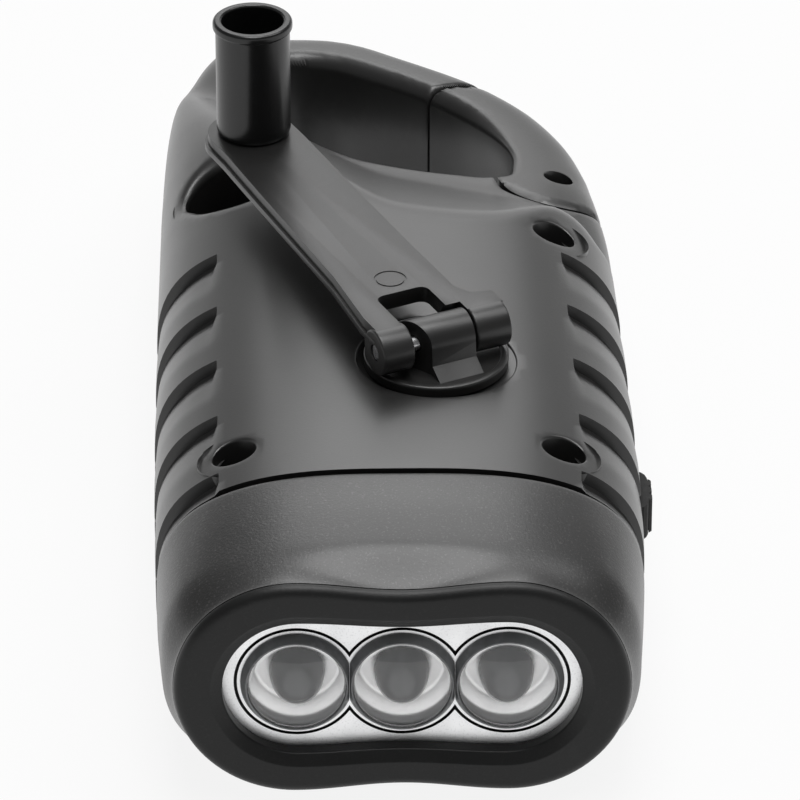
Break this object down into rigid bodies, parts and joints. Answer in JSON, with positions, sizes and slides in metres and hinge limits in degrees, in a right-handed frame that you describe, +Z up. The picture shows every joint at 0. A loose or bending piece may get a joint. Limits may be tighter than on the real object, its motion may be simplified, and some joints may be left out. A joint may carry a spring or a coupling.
{
  "type": "hand crank flashlight",
  "caption": "Hand crank flashlight with a folding side crank, a row of lenses in a waisted bezel, ribbed grips and a snap hook at the rear.",
  "frame": {"origin": "on the flat solar side that the flashlight lies on, below the middle of the case", "axes": "+X across the case to the side with the slide switch, +Y from the lamp face to the hook, +Z up to the crank side"},
  "size_m": [0.055, 0.1408, 0.0507],
  "materials": {
    "case_plastic": "satin, moulded",
    "head_plastic": "fine speckled texture",
    "bezel_plastic": "satin, dark",
    "knob_plastic": "polished",
    "chrome_trim": "mirror plated",
    "clear_plastic": "clear moulded",
    "steel": "bright",
    "gear_plastic": "natural acetal",
    "magnet": "sintered",
    "copper_wire": "enamelled wire",
    "board": "solder mask",
    "component_black": "moulded",
    "solar_cell": "dark blue cell",
    "lead_insulation": "smooth"
  },
  "bodies": {
    "case": {"battery_cell_1": "steel", "battery_cell_2": "steel", "battery_cell_3": "steel", "battery_lead": "lead_insulation", "battery_tab_left": "steel", "battery_tab_right": "steel", "bezel": "bezel_plastic", "capacitor": "component_black", "case_screw_1": "steel", "case_screw_2": "steel", "case_screw_3": "steel", "crank_side_shell": "case_plastic", "dynamo_lead": "lead_insulation", "first_axle": "steel", "first_spacer": "steel", "gate_pin": "steel", "gate_spring": "steel", "gearbox_plate": "gear_plastic", "gearbox_screw_1": "steel", "gearbox_screw_2": "steel", "gearbox_screw_3": "steel", "gearbox_screw_4": "steel", "head_shell": "head_plastic", "led_1": "clear_plastic", "led_2": "clear_plastic", "led_3": "clear_plastic", "led_board": "board", "led_lead": "lead_insulation", "lens_1": "clear_plastic", "lens_2": "clear_plastic", "lens_3": "clear_plastic", "lens_plate": "chrome_trim", "main_board": "board", "rectifier": "component_black", "reflector": "chrome_trim", "second_axle": "steel", "second_spacer": "steel", "socket_screw": "steel", "solar_cell": "solar_cell", "solar_lead": "lead_insulation", "solar_side_shell": "case_plastic", "solar_window": "clear_plastic", "stator_coil": "copper_wire", "stator_frame": "steel", "switch_body": "case_plastic"},
    "crank": {"crank_hub": "case_plastic", "drive_gear": "gear_plastic", "hub_screw": "steel"},
    "arm": {"crank_arm": "case_plastic", "hinge_pin": "steel", "knob_pin": "steel"},
    "knob": {"crank_knob": "knob_plastic"},
    "first_gear": {"first_gear": "gear_plastic"},
    "second_gear": {"second_gear": "gear_plastic"},
    "rotor": {"rotor_shaft": "steel", "rotor_pinion": "gear_plastic", "rotor_magnet": "magnet"},
    "gate": {"hook_gate": "case_plastic"},
    "switch": {"switch_button": "case_plastic"}
  },
  "joints": [
    {"name": "crank_turn", "type": "hinge", "parent": "case", "child": "crank", "pos_m": [0.0043, -0.0306, 0.0305], "axis": [0, 0, 1], "continuous": true},
    {"name": "arm_fold", "type": "hinge", "parent": "crank", "child": "arm", "pos_m": [0.00495, -0.03195, 0.0338], "axis": [0.9003, 0.4352, 0], "range_deg": [0, 150]},
    {"name": "knob_spin", "type": "hinge", "parent": "arm", "child": "knob", "pos_m": [-0.01585, 0.01108, 0.0364], "axis": [0, 0, 1], "continuous": true},
    {"name": "first_gear_turn", "type": "hinge", "parent": "case", "child": "first_gear", "pos_m": [-0.0065, -0.0162, 0.0178], "axis": [0, 0, 1], "continuous": true},
    {"name": "second_gear_turn", "type": "hinge", "parent": "case", "child": "second_gear", "pos_m": [0.01053, -0.01381, 0.0141], "axis": [0, 0, 1], "continuous": true},
    {"name": "rotor_turn", "type": "hinge", "parent": "case", "child": "rotor", "pos_m": [-0.00019, -0.02281, 0.0044], "axis": [0, 0, 1], "continuous": true},
    {"name": "gate_open", "type": "hinge", "parent": "case", "child": "gate", "pos_m": [0.0198, 0.0265, 0.0135], "axis": [0, 0, 1], "range_deg": [0, 20], "stiffness_Nm_per_rad": 0.03, "springref_deg": -28.65},
    {"name": "switch_slide", "type": "slide", "parent": "case", "child": "switch", "axis": [0, -1, 0], "range_m": [0, 0.003]}
  ],
  "couplings": [
    {"joint": "first_gear_turn", "follows": "crank_turn", "ratio": -4},
    {"joint": "second_gear_turn", "follows": "crank_turn", "ratio": 15.111},
    {"joint": "rotor_turn", "follows": "crank_turn", "ratio": -43.654}
  ]
}
